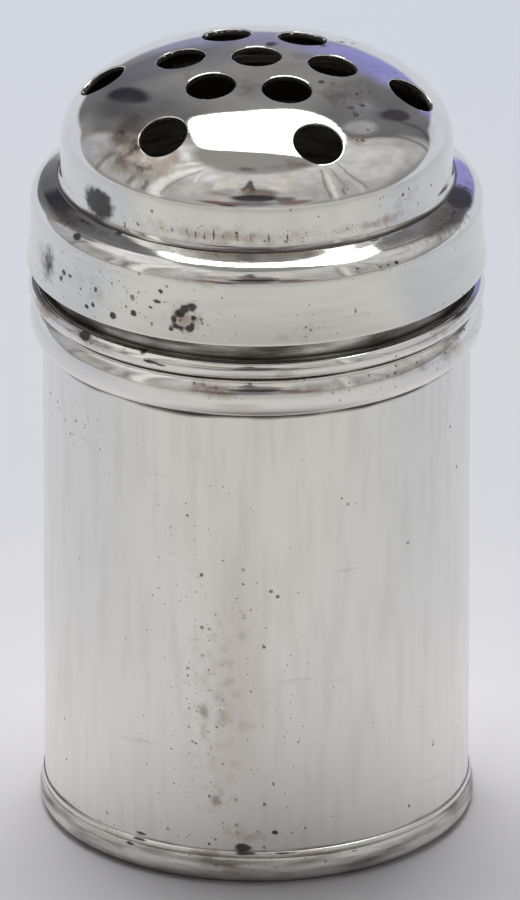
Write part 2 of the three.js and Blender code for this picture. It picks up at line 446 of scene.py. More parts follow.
above_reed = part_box("foot_reed")[1].z + 0.02 * mm
below_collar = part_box("collar_band")[0].z
# Tarnish and painted shade in the groove above the reed, and a line of painted shade on the wall just below
# the collar
wall_grooves = [(body_radius, above_reed, 0.08 * mm), (body_radius, below_collar, 0.5 * mm)]
tarnished_and_shaded(wall, wall_grooves, elsewhere=shaded_neck_dull_bore)
spotted(wall, "blots", on_wall([
    (-57.4, 30.3, 0.14, 0.17),
    (23.5, 27.2, 0.15, 0.19),
    (-5.6, 20.4, 0.16, 0.14, 0.85),
    (-6.4, 19.8, 0.12, 0.12),
    (-3.4, 19.2, 0.17, 0.24),
    (-13.9, 19.7, 0.13, 0.1, 0.8),
    (-5.3, 21.1, 0.12, 0.1, 0.8),
    (-7.2, 18.7, 0.12, 0.1, 0.8),
    (1.7, 21.6, 0.12, 0.12, 0.7),
    (55.9, 7.3, 0.22, 0.24),
    (45.6, 3.65, 0.17, 0.17, 0.85),
    (-3.7, 2.55, 0.72, 0.42),
    (2.0, 2.69, 0.2, 0.2),
    (2.0, 3.41, 0.2, 0.16),
    (5.0, 3.61, 0.27, 0.2),
    (-5.1, 3.68, 0.16, 0.12, 0.75),
    (-2.4, 3.19, 0.12, 0.1, 0.9),
    (-9.2, 8.48, 0.2, 0.14, 0.9),
    (4.7, 7.16, 0.14, 0.16, 0.85),
    (8.2, 5.52, 0.12, 0.16),
    (7.7, 6.47, 0.14, 0.1, 0.75),
    (-56.6, 2.73, 0.12, 0.38, 0.9),
    (-17.5, 10, 0.2, 0.14, 0.85),
    (-18.4, 11.6, 0.16, 0.12, 0.8),
    (-10.8, 10.2, 0.2, 0.1, 0.8),
    (-17, 13.1, 0.14, 0.12, 0.75),
    (-32.8, 2.5, 0.6, 0.24, 0.9),
    (-131, 22, 0.3, 0.24, 0.85),
    (156, 8.5, 0.24, 0.3, 0.85),
    (172, 29, 0.3, 0.2, 0.8),
    (112, 14, 0.2, 0.2, 0.85),
]))
# The broad first mark is partly a brown stain and partly a painted reflection
spotted(wall, "stained", on_wall([
    (-9, 13, 4.4, 14, 0.54),
    (-14.1, 12.1, 0.45, 0.6, 1.1),
    (-14.7, 10.9, 0.3, 0.4, 1.0),
    (-11.1, 5.9, 0.5, 0.55, 1.3),
    (-9.4, 6.5, 0.2, 0.3, 1.1),
    (-2, 3.4, 2.6, 1.1, 0.75),
    (-20, 30.2, 2, 0.8, 0.5),
    (-36, 4, 2.4, 1.6, 0.45),
]))
spotted(wall, "pitted", on_wall([
    (-14.1, 12, 1.6, 2.2, 0.7),
    (-10.5, 6, 1.1, 1.6, 0.7),
    (0, 3.2, 4, 1.1, 0.6),
    (-6, 19.8, 1.3, 1.7, 0.8),
    (24, 27, 0.8, 0.8, 0.6),
    (-30, 3, 6, 0.8, 0.5),
    (-10, 14, 5, 12, 0.3),
    (-60, 30, 4, 1.5, 0.4),
    (-132, 21, 4, 6, 0.4),
    (155, 9, 5, 5, 0.45),
    (100, 16, 4, 7, 0.3),
]))
fitted(wall, "body", "body_tube")


# Base
# A flat disc of the same sheet, dropped into the foot's rabbet and soldered round its edge. It is
# seen from below and, with the lid off, at the bottom of the tube.
low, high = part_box("base_disc")
base_finish = silver(
    "dull silver base", polish=0.34, rubbing=0.12, squeeze=(1, 1, 1), line_width=0.3 * mm,
    relief=0.5, waves=2.0, wave_length=3 * mm, pits=0.05,
)
base_ease = 0.05 * mm
base_rings = 24
base_edge = eased((0, low.z), (high.x, low.z), (high.x, high.z), base_ease)
base_edge += eased((high.x, low.z), (high.x, high.z), (0, high.z), base_ease)
base_steps = [high.x * i / base_rings for i in range(base_rings)]
base_section = [(radius, low.z) for radius in base_steps] + base_edge
base_section += [(radius, high.z) for radius in reversed(base_steps)]
base = turned("base", base_section, base_finish, closed=0, turns=96, dent_depth=0.04 * mm)
tarnished_and_shaded(base, [(high.x, low.z, 2.5 * mm), (high.x, high.z, 3 * mm)], all_over=0.35)
fitted(base, "body", "base_disc")


# Foot rim
# Drawn silver wire bent to a ring and soldered round the bottom edge. It is rounded outside, turns
# under to a narrow flat that touches the table, and its rabbet carries the tube and the base.
low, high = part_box("foot_rim")
solder_gap = 0.04 * mm
wire_inside = body_radius + solder_gap
turn_under = 0.9 * mm
flat_radius = high.x - turn_under
flat_width = 0.8 * mm
rabbet = 0.45 * mm
foot_finish = silver(
    "polished silver foot", polish=0.3, rubbing=0.1, squeeze=(0.3, 0.3, 1), line_width=0.1 * mm,
    relief=0.2, waves=0.6, wave_length=1.5 * mm,
)
foot_section = [(flat_radius - flat_width, low.z)]
foot_section += arc((flat_radius, turn_under), turn_under, turn_under, -90, 0)
foot_section += arc((wire_inside, turn_under), high.x - wire_inside, high.z - turn_under, 0, 90)[1:]
foot_section += [(wire_inside, rabbet), (flat_radius - flat_width, rabbet)]
foot = turned("foot", foot_section, foot_finish, dent_depth=0.02 * mm, dent_size=5 * mm)
# Painted shade over the whole foot, where it mirrors the shadowed floor, and darker still along the flat on
# the table
tarnished_and_shaded(foot, [(flat_radius, low.z, 0.7 * mm)], all_over=0.38)
spotted(foot, "blots", [
    (-36, 14.2, 1.75, 0.45, 0.16, 0.9),
    (-13, 14.2, 1.8, 1.3, 0.1, 0.85),
    (20.3, 14.2, 1.8, 0.14, 0.2, 0.8),
    (26.8, 14.2, 1.75, 0.3, 0.14, 0.85),
    (35.6, 14.3, 1.6, 0.12, 0.1, 0.85),
    (38.5, 14.3, 1.6, 0.14, 0.12, 0.95),
])
spotted(foot, "stained", [
    (-7, 14.6, 0.9, 3, 1.4, 0.7),
    (-40, 14.5, 1.2, 6, 1.2, 0.45),
    (30, 14.5, 1.2, 6, 1, 0.45),
])
spotted(foot, "pitted", [
    (-3, 14.2, 1.6, 5, 0.5, 0.6),
    (32, 14.2, 1.6, 4, 0.4, 0.8),
])
fitted(foot, "body", "foot_rim")


# Foot reed
# A hair of half-round wire laid on the wall just above the foot. With the grooves on both sides of
# it, it reads as two fine dark lines.
reed_finish = silver(
    "polished silver reed", polish=0.27, rubbing=0.1, squeeze=(0.2, 0.2, 1), line_width=0.1 * mm,
    relief=0.2, wave_length=0.6 * mm,
)


def half_oval(node, steps, overlap=0.0):
    """Section of a half-oval wire laid on the wall, which may overlap its neighbours."""
    low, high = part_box(node)
    middle = (high.z + low.z) / 2
    half_height = (high.z - low.z) / 2 + overlap
    return arc((body_radius, middle), high.x - body_radius, half_height, -90, 90, steps)


reed = turned("reed", half_oval("foot_reed", 12, solder_gap), reed_finish)
spotted(reed, "blots", [
    (-33, 14.1, 2.2, 0.7, 0.13, 0.9),
    (7, 14.1, 2.18, 1.0, 0.09, 0.9),
    (-3, 14.1, 2.2, 0.8, 0.16),
])
spotted(reed, "stained", [
    (-13, 14.1, 2.05, 1.7, 0.3, 1.3),
    (12, 14.1, 2.0, 2.2, 0.3, 0.9),
    (-42, 14.1, 2, 3, 0.4, 0.7),
])
fitted(reed, "body", "foot_reed")


# Collar
# A broad half-oval wire soldered round the wall. A sharp groove parts it from the bead, and a fine
# line of painted shade runs along its lower edge.
low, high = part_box("collar_band")
collar_finish = silver(
    "polished silver collar", polish=0.1, rubbing=0.08, squeeze=(0.15, 0.15, 1), line_width=0.1 * mm,
    relief=0.25, waves=1.2, wave_length=0.9 * mm,
)
collar_section = half_oval("collar_band", 44)
collar = turned("collar", collar_section, collar_finish, dent_depth=0.03 * mm, dent_size=4 * mm)
# Tarnish and painted shade in the groove under the bead, and a line of painted shade along the lower edge
lower_edge = (wire_inside + 0.2 * mm, low.z + 0.05 * mm, 0.36 * mm)
tarnished_and_shaded(collar, [(wire_inside, high.z, 0.4 * mm), lower_edge])
spotted(collar, "blots", [
    (-14.5, 14.83, 35.9, 0.7, 0.3, 0.85),
    (-9.8, 14.78, 36.1, 0.5, 0.2, 0.85),
    (-12.5, 14.85, 35.6, 0.3, 0.14, 0.8),
    (40, 14.85, 35.9, 0.5, 0.2, 0.8),
    (57.6, 14.79, 36.05, 0.5, 0.28, 0.95),
    (51.2, 14.78, 36.1, 0.4, 0.2, 0.8),
    (-64, 14.8, 36, 1, 0.25, 0.8),
])
spotted(collar, "stained", [
    (-11, 14.84, 35.6, 2.2, 0.8, 1.0),
    (14, 14.84, 35.6, 2.6, 0.6, 0.8),
    (42, 14.84, 35.6, 3, 0.9, 0.8),
    (60, 14.84, 35.4, 2.4, 1.2, 0.9),
    (-40, 14.84, 35.6, 4, 0.7, 0.5),
])
spotted(collar, "pitted", [
    (38, 14.8, 35.4, 7, 1.0, 0.5),
    (-12, 14.8, 35.6, 2.6, 0.7, 0.6),
    (58, 14.8, 35.2, 4, 0.8, 0.8),
])
fitted(collar, "body", "collar_band")


# Bead
# A half-round wire that closes the collar. The lid comes down to just above it, and the strip of
# neck between the two is painted dark as shade, as is the bead's own top under the lid.
low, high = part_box("upper_bead")
bead_half = (high.z - low.z) / 2
bead_middle = (high.z + low.z) / 2
bead_centre = high.x - bead_half
bead_finish = silver(
    "polished silver bead", polish=0.08, rubbing=0.07, squeeze=(0.15, 0.15, 1), line_width=0.1 * mm,
    relief=0.25, waves=2.0, wave_length=0.7 * mm,
)
bead_section = [(wire_inside, low.z)]
bead_section += arc((bead_centre, bead_middle), bead_half, bead_half, -90, 90, 28)
bead_section += [(wire_inside, high.z)]
bead = turned("bead", bead_section, bead_finish, dent_depth=0.02 * mm, dent_size=4 * mm)
# Tarnish and painted shade in the groove below, and painted shade on the top under the lid
tarnished_and_shaded(bead, [(bead_centre, low.z, 0.2 * mm), (wire_inside, high.z, 0.6 * mm)])
spotted(bead, "blots", [
    (-49, 14.8, 37.3, 0.75, 0.42),
    (-30, 14.6, 37.5, 0.4, 0.4, 0.9),
    (-27.5, 14.95, 37, 0.7, 0.16, 0.95),
    (-24.5, 14.95, 36.9, 0.5, 0.12, 0.85),
    (64, 14.7, 37.4, 1.4, 0.2, 0.85),
])
spotted(bead, "stained", [
    (-46, 14.9, 37.1, 3, 0.9, 0.9),
    (-70, 14.8, 37.2, 2.5, 0.8, 1.1),
    (4, 14.9, 36.7, 3, 0.5, 0.8),
    (55, 14.9, 37.1, 4, 0.6, 0.7),
])
spotted(bead, "pitted", [
    (-48, 14.9, 37, 4, 0.6, 0.7),
    (50, 14.9, 36.8, 6, 0.5, 0.6),
])
fitted(bead, "body", "upper_bead")


# Lid rim
# Spun sheet: a skirt that bells out a little at its lip, a rolled shoulder, and a sloping ledge that
# the dome is soldered to. It carries most of the pits.
low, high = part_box("lid_rim")
lid_sheet = 0.4 * mm
skirt_height = 4.05 * mm
lip_flare = 0.27 * mm
shoulder_radius = 1.45 * mm
shoulder_sweep = 66
ledge_width = 0.9 * mm
cove_width = 0.25 * mm
skirt_top = low.z + skirt_height
skirt_radius = high.x - lip_flare
shoulder_centre = skirt_radius - shoulder_radius
ledge_inside = shoulder_centre + shoulder_radius * math.cos(math.radians(shoulder_sweep)) - ledge_width
drum_radius = ledge_inside - cove_width


def rim_face(depth, steps):
    """One face of the rim from the lip up to the ledge, a depth in from its outside."""
    falls = [1 - i / steps for i in range(steps)]
    face = [(skirt_radius - depth + lip_flare * fall ** 2, skirt_top - skirt_height * fall) for fall in falls]
    bend = shoulder_radius - depth
    face += arc((shoulder_centre, skirt_top), bend, bend, 0, shoulder_sweep)
    shoulder_end = Vector(face[-1])
    ledge_end = Vector((ledge_inside, high.z - depth))
    face += [tuple(shoulder_end.lerp(ledge_end, share)) for share in (0.3, 0.6, 0.9, 1)]
    return face


outer_face = rim_face(0, 16)
inner_face = rim_face(lid_sheet, 6)
land = drum_radius - lid_sheet
rim_finish = silver(
    "polished silver rim", polish=0.07, rubbing=0.06, squeeze=(0.15, 0.15, 1), line_width=0.1 * mm,
    relief=0.25, waves=1.8, wave_length=0.8 * mm, pits=0.008,
)
lip_bottom = eased(inner_face[0], outer_face[0], outer_face[1], 0.16 * mm)
lip_inside = eased(inner_face[1], inner_face[0], outer_face[0], 0.12 * mm)
rim_section = lip_bottom + outer_face[1:] + [(land, high.z), (land, high.z - lid_sheet)]
rim_section += list(reversed(inner_face[1:])) + lip_inside
rim = turned("rim", rim_section, rim_finish, turns=640, dent_depth=0.045 * mm, dent_size=4 * mm)


def under_rim(radius, level):
    """1 on the rim's inside, where the tarnish was never rubbed off."""
    flare = lip_flare * np.clip((skirt_top - level) / skirt_height, 0, 1) ** 2
    beneath = (level < skirt_top) & (radius < skirt_radius + flare - 0.6 * lid_sheet)
    bend = np.hypot(radius - shoulder_centre, level - skirt_top)
    above = (level >= skirt_top) & (bend < shoulder_radius - 0.6 * lid_sheet)
    return np.where(beneath | above, 0.9, 0)


tarnished_and_shaded(rim, [(drum_radius, high.z, 0.24 * mm)], elsewhere=under_rim)

# Smudges on the skirt and the shoulder, a ring of small blots on the skirt, and loose ones round it
spotted(rim, "blots", [
    (-65.5, 14.89, 40.9, 1.7, 2.5, 0.6),
    (76, 13.65, 44.3, 2.3, 1.1),
    (66.4, 13.9, 44.2, 0.8, 0.2),
    # A wide faint blot on the right of the shoulder, laid on as a painted reflection of a dark part of the
    # room
    (60, 14.1, 43.9, 9, 1.7, 0.52),
    (-62, 14, 44.1, 2.2, 0.8, 0.56),
    (-48, 13.6, 44.3, 2.8, 0.5, 0.56),
    (-16.4, 14.87, 41.3, 0.42, 0.36),
    (-18.2, 14.88, 41.1, 0.45, 0.34),
    (-19.6, 14.9, 40.75, 0.45, 0.36),
    (-21.1, 14.94, 40.3, 0.28, 0.42, 0.9),
    (-20.3, 14.98, 39.85, 0.34, 0.26, 0.9),
    (-21.7, 15, 39.65, 0.28, 0.22),
    (-18.9, 14.99, 39.7, 0.28, 0.2, 0.9),
    (-16.9, 14.98, 39.8, 0.42, 0.3),
    (-16.1, 14.95, 40.15, 0.22, 0.28, 0.9),
    (-15.9, 14.92, 40.55, 0.26, 0.26, 0.9),
    (-13.9, 14.92, 40.45, 0.28, 0.18, 0.9),
    (-57.5, 14.88, 41.0, 0.4, 0.3, 0.8),
    (-58.7, 14.92, 40.5, 0.34, 0.3, 0.78),
    (-54.7, 14.89, 41.0, 0.38, 0.24, 0.8),
    (-50.0, 14.92, 40.5, 0.24, 0.18, 0.8),
    (-44.6, 14.89, 40.95, 0.24, 0.24, 0.95),
    (-47.4, 15.01, 39.55, 0.28, 0.2, 0.95),
    (-45.3, 14.98, 39.85, 0.24, 0.26, 0.9),
    (-44.3, 15.06, 39.1, 0.2, 0.16, 0.8),
    (-38.5, 15.0, 39.6, 0.36, 0.27, 1.1),
    (-32.2, 14.95, 40.15, 0.34, 0.25, 1.1),
    (-24.8, 14.84, 42.05, 0.24, 0.22),
    (-28.8, 14.95, 40.15, 0.18, 0.18, 0.85),
    (-27.0, 14.99, 39.7, 0.24, 0.18, 0.85),
    (-27.5, 14.9, 40.8, 0.24, 0.16, 0.85),
    (-25.6, 14.87, 41.3, 0.5, 0.24, 0.75),
    (-32.7, 14.87, 41.2, 0.36, 0.34, 0.7),
    (-6.4, 15.04, 39.2, 0.2, 0.14, 0.9),
    (-5.2, 14.99, 39.7, 0.1, 0.24, 0.8),
    (11.2, 14.98, 39.7, 0.14, 0.16, 0.75),
    (13.6, 14.95, 39.8, 0.16, 0.12, 0.75),
    (13.8, 14.91, 40.5, 0.1, 0.5, 0.78),
    (25.5, 14.89, 40.7, 0.14, 0.3, 0.85),
    (37.9, 14.74, 43.3, 0.2, 0.16),
    (35.3, 14.73, 43.3, 0.2, 0.1, 0.85),
    (32.9, 14.72, 43.3, 0.2, 0.1, 0.8),
    (26.5, 14.64, 43.5, 0.22, 0.1, 0.8),
    (60.9, 14.83, 42.4, 0.14, 0.24, 0.8),
    (-53.8, 14.44, 43.8, 0.5, 0.36, 0.95),
    (-72, 13.65, 44.3, 0.6, 0.3, 0.95),
    (-42.9, 13.14, 44.5, 0.35, 0.2, 0.95),
    (-56, 13.5, 44.4, 1.6, 0.3, 0.8),
    (35.2, 13.2, 44.5, 0.8, 0.2, 0.85),
    (46, 13.23, 44.5, 1.0, 0.14, 0.8),
    (128, 14.95, 40.3, 0.4, 0.3, 0.9),
    (133, 14.9, 41.1, 0.24, 0.2, 0.85),
    (171, 15, 39.7, 0.3, 0.24, 0.9),
    (-157, 14.9, 40.8, 0.9, 0.6, 0.7),
    (-122, 14.9, 40.4, 0.3, 0.24, 0.85),
    (-170, 14, 44.1, 1.1, 0.4, 0.8),
])
spotted(rim, "stained", [
    (-45, 14.9, 41, 6, 2, 0.5),
    (-18.3, 14.93, 40.4, 1.3, 1.2, 1.1),
    (-68, 14.9, 41, 2, 2, 0.7),
    (-62, 13.8, 44.2, 3, 0.9, 0.9),
    (40, 13.3, 44.4, 3, 0.5, 0.8),
    # A wide stain on the right of the shoulder, laid on as a painted reflection of a dark part of the room
    (68, 13.7, 44.1, 9, 1.3, 0.85),
    (46, 13.9, 44, 5, 0.8, 0.8),
    (-12, 14.8, 43, 3, 0.6, 0.7),
    (10, 14.9, 40, 4, 1.6, 0.5),
    (34, 14.7, 43.3, 3, 0.5, 0.7),
])
spotted(rim, "pitted", [
    (-45, 14.9, 41, 6, 2.2, 0.5),
    (-18.3, 14.93, 40.4, 1.7, 1.5, 1.2),
    (-58, 14.9, 41.2, 3, 1.4, 0.7),
    (36, 14.8, 43.2, 3, 0.5, 0.8),
    (12, 14.9, 40.2, 2, 1.2, 0.5),
    (-30, 14.9, 41, 5, 1.6, 0.4),
    (130, 14.9, 40.6, 4, 1.6, 0.6),
    (-155, 14.9, 40.6, 5, 1.8, 0.5),
])
fitted(rim, "lid", "lid_rim")


# Pierced dome
# Sheet raised over a stake into a dome on a short drum, then drilled square to its surface: one hole
# in the middle and two rings of six. Polishing has broken the holes' outer edges, which shine.
low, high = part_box("lid_dome")
dome_sheet = 0.4 * mm
cove_height = 0.6 * mm
drum_height = 2.45 * mm
dome_rise = 5.9 * mm
dome_fullness = 2.1
hole_diameter = 3.25 * mm
hole_phase = -6.8
spring_line = low.z + drum_height


def dome_face(depth, steps):
    """The dome's profile from its spring line up to the axis, a depth in from its outside."""
    face = []
    for i in range(steps):
        angle = math.pi / 2 * i / steps
        outward = math.cos(angle) ** (2 / dome_fullness)
        upward = math.sin(angle) ** (2 / dome_fullness)
        face.append(((drum_radius - depth) * outward, spring_line + (dome_rise - depth) * upward))
    return face + [(0, spring_line + dome_rise - depth)]


seat_level = low.z - solder_gap
drum_foot = seat_level + cove_height
drum_bare = spring_line - drum_foot
drum_steps = 8
dome_section = list(reversed(dome_face(dome_sheet, 40)))
dome_section += [(drum_radius - dome_sheet, seat_level)]
dome_section += arc((ledge_inside, drum_foot), cove_width, cove_height, 270, 180, 8)
dome_section += [(drum_radius, drum_foot + drum_bare * i / drum_steps) for i in range(1, drum_steps)]
dome_section += dome_face(0, 84)

piercing, given, result = new_tree("pierced dome", "GeometryNodeTree", {
    "Section": ("NodeSocketGeometry", None),
    "Turns": ("NodeSocketInt", 288),
    "Hole Diameter": ("NodeSocketFloat", hole_diameter),
    "Edge Round": ("NodeSocketFloat", 0.09 * mm),
    "Inner Ring": ("NodeSocketFloat", 0.389 * drum_radius),
    "Outer Ring": ("NodeSocketFloat", 0.794 * drum_radius),
    "Holes In A Ring": ("NodeSocketInt", 6),
    "First Hole": ("NodeSocketFloat", math.radians(hole_phase)),
    "Dent Depth": ("NodeSocketFloat", 0.0),
    "Dent Size": ("NodeSocketFloat", 6 * mm),
    "Finish": ("NodeSocketMaterial", None),
}, {"Piece": "NodeSocketGeometry"})
smooth_shell = spun(piercing, given["Section"], 0, given["Turns"])
shell = dented(piercing, smooth_shell, given["Dent Depth"], given["Dent Size"])

# One seat for each hole, dropped onto the dome from above, with the hole's axis stored on it
joined = add(piercing, "GeometryNodeJoinGeometry")
for ring_radius in (given["Inner Ring"], given["Outer Ring"]):
    ring = {"Vertices": given["Holes In A Ring"], "Radius": ring_radius}
    piercing.links.new(output(piercing, "GeometryNodeMeshCircle", ring), joined.inputs[0])
middle = output(piercing, "GeometryNodeMeshLine", {"Count": 1, "Start Location": (1e-6, 1e-6, 0)})
piercing.links.new(middle, joined.inputs[0])
first_turn = output(piercing, "ShaderNodeCombineXYZ", {"Z": given["First Hole"]})
laid_out = output(piercing, "GeometryNodeTransform", {
    "Geometry": joined.outputs[0], "Rotation": first_turn,
})
above = spring_line + 3 * dome_rise
here = output(piercing, "GeometryNodeInputPosition")
landed = add(piercing, "GeometryNodeRaycast", {
    "Target Geometry": shell,
    "Source Position": vector(piercing, "ADD", here, (0, 0, above)),
    "Ray Direction": (0, 0, -1),
    "Ray Length": above,
}).outputs


def storing(shape, name, value):
    """Stores a vector on each of a shape's points."""
    inputs = {"Geometry": shape, "Name": name, "Value": value}
    return output(piercing, "GeometryNodeStoreNamedAttribute", inputs, data_type="FLOAT_VECTOR")


def stored(name):
    return output(piercing, "GeometryNodeInputNamedAttribute", {"Name": name}, data_type="FLOAT_VECTOR")


aimed = storing(laid_out, "hole_axis", landed["Hit Normal"])
dropped = output(piercing, "GeometryNodeSetPosition", {
    "Geometry": aimed, "Position": landed["Hit Position"],
})
seats = storing(dropped, "hole_seat", here)

# The cutter: a spindle of the hole's size whose shoulder rounds the hole's outer edge over
profile_points = 9
cutter_sides = 72
depth_below = 1.2 * mm
cap_overhang = 3.6
bend_step = 14.0
hole_radius = calc(piercing, "DIVIDE", given["Hole Diameter"], 2)
rounding = given["Edge Round"]
order = output(piercing, "GeometryNodeInputIndex")
bend = calc(piercing, "RADIANS", calc(piercing, "MULTIPLY_ADD", order, -bend_step, 180 + 2 * bend_step))
round_out = calc(piercing, "MULTIPLY", rounding, calc(piercing, "ADD", calc(piercing, "COSINE", bend), 1.0))
round_up = calc(piercing, "MULTIPLY", rounding, calc(piercing, "SUBTRACT", calc(piercing, "SINE", bend), 1.0))


def chosen_by_order(cases, otherwise):
    """Picks a value for one corner of the profile by its place in the line."""
    picked = otherwise
    for place, value in cases.items():
        numbers = {2: order, 3: place}
        same = output(piercing, "FunctionNodeCompare", numbers, data_type="INT", operation="EQUAL")
        sides = {"Switch": same, "False": picked, "True": value}
        picked = output(piercing, "GeometryNodeSwitch", sides, input_type="FLOAT")
    return picked


outward = chosen_by_order({
    0: 0.0,
    1: hole_radius,
    profile_points - 2: calc(piercing, "MULTIPLY_ADD", rounding, cap_overhang, hole_radius),
    profile_points - 1: 0.0,
}, calc(piercing, "ADD", hole_radius, round_out))
upward = chosen_by_order({
    0: -depth_below,
    1: -depth_below,
    profile_points - 2: rounding,
    profile_points - 1: rounding,
}, round_up)
corner = output(piercing, "ShaderNodeCombineXYZ", {"X": outward, "Z": upward})
straight = output(piercing, "GeometryNodeMeshLine", {"Count": profile_points})
profile = output(piercing, "GeometryNodeSetPosition", {"Geometry": straight, "Position": corner})
cutter = spun(piercing, profile, 0, cutter_sides)

# Each cutter stands on its seat, and is bent to follow the dome so that the edge is even all round
axis = stored("hole_axis")
upright = output(piercing, "FunctionNodeAlignRotationToVector", {"Vector": axis}, axis="Z")
standing = output(piercing, "GeometryNodeInstanceOnPoints", {
    "Points": seats, "Instance": cutter, "Rotation": upright,
})
drills = output(piercing, "GeometryNodeRealizeInstances", {"Geometry": standing})
head_room = 6 * mm
lift = vector(piercing, "DOT_PRODUCT", vector(piercing, "SUBTRACT", here, stored("hole_seat")), axis)
lifted = scaled(piercing, axis, lift)
level_place = vector(piercing, "SUBTRACT", here, lifted)
skin = add(piercing, "GeometryNodeRaycast", {
    "Target Geometry": shell,
    "Source Position": vector(piercing, "ADD", level_place, scaled(piercing, axis, head_room)),
    "Ray Direction": scaled(piercing, axis, -1.0),
    "Ray Length": 3 * head_room,
}).outputs["Hit Position"]
bent = output(piercing, "GeometryNodeSetPosition", {
    "Geometry": drills, "Position": vector(piercing, "ADD", skin, lifted),
})
pierced = add(piercing, "GeometryNodeMeshBoolean", operation="DIFFERENCE", solver="MANIFOLD")
piercing.links.new(shell, pierced.inputs[0])
piercing.links.new(bent, pierced.inputs[1])
hole_crease = math.radians(17)
piercing.links.new(smoothed(piercing, pierced.outputs[0], hole_crease, given["Finish"]), result["Piece"])

dome_finish = silver(
    "polished silver dome", polish=0.035, rubbing=0.05, squeeze=(1, 1, 1), line_width=0.3 * mm,
    relief=0.15, waves=0.4, wave_length=2.5 * mm, pits=0.004,
)
dome = grown("dome", piercing, [(radius, 0, level) for radius, level in dome_section], {
    "Finish": dome_finish,
    "Turns": 400,
    "Dent Depth": 0.02 * mm,
    "Dent Size": 5 * mm,
})


def under_dome(radius, level):
    """1 on the dome's inside, black with old tarnish, falling off through the sheet."""
    reach_in = np.clip(radius / (drum_radius - dome_sheet), 0, 1) ** dome_fullness
    ceiling = spring_line + (dome_rise - dome_sheet) * np.clip(1 - reach_in, 0, 1) ** (1 / dome_fullness)
    below = (level < ceiling + 0.1 * dome_sheet) & (radius < drum_radius - 0.8 * dome_sheet)
    return np.where(below, 1.4, 0)


tarnished_and_shaded(dome, [(drum_radius + cove_width, low.z, 0.42 * mm)], elsewhere=under_dome)

# The blot and fine upright streaks on the drum, smudges beside the left hole, and pits near the top
spotted(dome, "blots", [
    (-53.2, 12.82, 45.8, 1.9, 1.28),
    (-44, 11.3, 49.9, 2.2, 1.5, 0.57),
    (-53, 10.9, 50.2, 1.5, 1.3, 0.56),
    (-38.5, 12.1, 49.1, 1.9, 0.8, 0.57),
    (-47, 12, 49.1, 1.6, 0.9, 0.53),
    (150, 9.1, 51.3, 0.3, 0.3, 0.85),
    (168, 12.2, 48.9, 0.4, 0.3, 0.8),
    (-142, 12.8, 46, 0.7, 0.5, 0.85),
    (62.5, 12.82, 46.3, 0.2, 0.2, 0.85),
    (50.2, 12.81, 47, 0.2, 0.18, 0.8),
    (45.7, 8.95, 51.36, 0.34, 0.32),
    (47, 8.3, 51.6, 0.42, 0.26, 0.95),
    (53.6, 8.5, 51.5, 0.3, 0.26, 0.95),
    (58.7, 7.6, 51.87, 0.26, 0.26, 0.85),
    (52, 5.3, 52.4, 0.4, 0.3, 0.85),
    (57, 5.9, 52.3, 0.3, 0.24, 0.8),
    (37.7, 10.57, 50.5, 0.32, 0.22, 0.85),
    (39.9, 10.68, 50.4, 0.28, 0.22, 0.85),
    (122, 5.1, 52.5, 0.3, 0.4, 0.85),
    (128.3, 7.1, 52.1, 0.24, 0.4, 0.85),
    (127.4, 7.9, 51.8, 0.2, 0.3, 0.85),
    (156.3, 2.3, 52.9, 0.6, 0.8, 0.8),
    (36, 1.2, 52.9, 0.5, 0.5, 0.75),
    (22.9, 12.57, 48.3, 0.14, 0.1, 0.85),
    (27.8, 12.6, 48.2, 0.14, 0.1, 0.85),
    (9.8, 12.8, 47.4, 0.12, 0.18, 0.75),
    (-36.9, 12.8, 45.4, 0.14, 0.14, 0.85),
    (-31.5, 12.8, 45.7, 0.12, 0.12, 0.8),
    (-25.5, 12.82, 45.6, 0.16, 0.5, 0.75),
    (-22.8, 12.82, 45.5, 0.14, 0.44, 0.7),
    (-20.5, 12.82, 45.7, 0.14, 0.6, 0.7),
    (-17.9, 12.82, 45.5, 0.16, 0.4, 0.75),
    (-15.2, 12.82, 45.4, 0.14, 0.36, 0.7),
    (-12.4, 12.83, 45.6, 0.18, 0.9, 0.7),
    (-9.6, 12.83, 45.5, 0.14, 0.7, 0.68),
    (-5.8, 12.83, 45.6, 0.18, 0.9, 0.68),
    (-1.5, 12.83, 45.5, 0.2, 0.7, 0.66),
    (3.4, 12.83, 45.5, 0.16, 0.8, 0.66),
    (8.8, 12.83, 45.5, 0.16, 0.8, 0.66),
])
spotted(dome, "stained", [
    (-52.5, 10.3, 50.7, 1.4, 1.6, 1.2),
    (-45, 11.3, 49.9, 3.4, 2.2, 1.2),
    (-56, 11.4, 49.8, 2, 1.2, 0.8),
    (-45, 12, 49.2, 1.5, 1, 1.1),
    (-37.6, 12.3, 48.8, 1.3, 0.8, 1.0),
    (-31.5, 11.9, 49.4, 1.5, 0.9, 1.3),
    (-27.6, 11.3, 49.9, 0.9, 0.8, 1.1),
    (-6.6, 4.6, 52.6, 1.7, 1.3, 0.9),
    (50, 7.3, 52, 2.3, 2, 0.9),
    (38, 10.5, 50.5, 1, 0.7, 1.1),
    (13.5, 11.3, 49.9, 0.9, 0.6, 1.1),
    (95, 3.0, 52.8, 1.4, 1.4, 0.8),
    (-60, 5, 52.5, 2, 1.2, 0.6),
    (-150, 3.6, 52.8, 2, 1.6, 0.7),
    (-10, 12.82, 45.6, 9, 0.9, 0.9),
    (47, 12.8, 46.4, 3, 1.4, 0.5),
    (38, 12.82, 45.5, 4, 0.5, 1.0),
])
spotted(dome, "pitted", [
    (56, 7.6, 51.9, 2.2, 1.6, 1.0),
    (42, 10.3, 50.7, 1, 0.8, 0.8),
    (37, 12.82, 45.4, 4, 0.5, 1.3),
    (110, 7, 52, 4, 2, 0.5),
    (-30, 12.8, 45.6, 6, 0.7, 0.5),
    (5, 12.8, 45.5, 6, 0.5, 0.5),
    (49, 12.8, 46.6, 3, 1, 0.4),
])
fitted(dome, "lid", "lid_dome")


